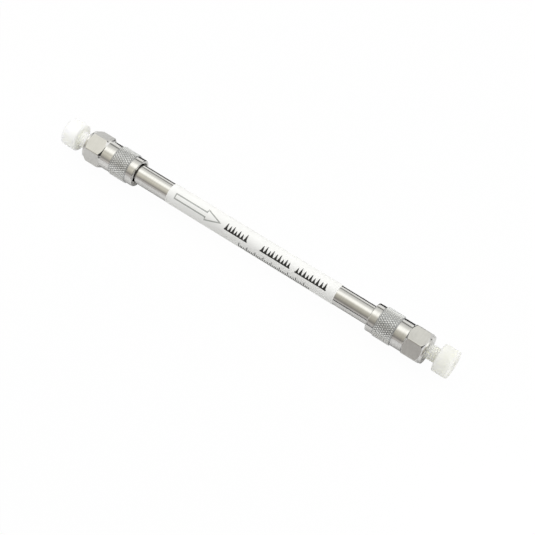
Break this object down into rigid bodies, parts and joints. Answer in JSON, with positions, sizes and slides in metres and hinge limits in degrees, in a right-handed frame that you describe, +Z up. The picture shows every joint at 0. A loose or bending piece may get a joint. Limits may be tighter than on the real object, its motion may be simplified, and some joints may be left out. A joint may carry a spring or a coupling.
{
  "type": "liquid chromatography column",
  "caption": "Slim bored steel column tube with a hexagonal, knurled end fitting and a screwed-in white shipping plug at each end.",
  "frame": {"origin": "on the tube's axis, halfway between the two ends, which is the centre of the bounding box", "axes": "+X along the column from the inlet to the outlet, +Z up with the column lying on its side"},
  "size_m": [0.1416, 0.011, 0.0106],
  "materials": {
    "tube_steel": "ground and polished stainless steel",
    "fitting_steel": "turned, milled and knurled stainless steel",
    "sintered_steel": "sintered, matt and porous",
    "ring_polymer": "turned polymer, natural tan",
    "silica": "packed fine silica powder",
    "film": "printed white film, semi-gloss",
    "plug_plastic": "moulded natural white plastic, satin"
  },
  "bodies": {
    "column": {"column_tube": "tube_steel", "packed_bed": "silica", "label": "film", "inlet_end_fitting": "fitting_steel", "inlet_frit": "sintered_steel", "inlet_frit_ring": "ring_polymer", "outlet_end_fitting": "fitting_steel", "outlet_frit": "sintered_steel", "outlet_frit_ring": "ring_polymer"},
    "inlet_cap": {"inlet_plug": "plug_plastic"},
    "outlet_cap": {"outlet_plug": "plug_plastic"}
  },
  "joints": [
    {"name": "inlet_plug_pull", "type": "slide", "parent": "column", "child": "inlet_cap", "axis": [-1, 0, 0], "range_m": [0, 0.0085]},
    {"name": "outlet_plug_pull", "type": "slide", "parent": "column", "child": "outlet_cap", "axis": [1, 0, 0], "range_m": [0, 0.0085]}
  ]
}
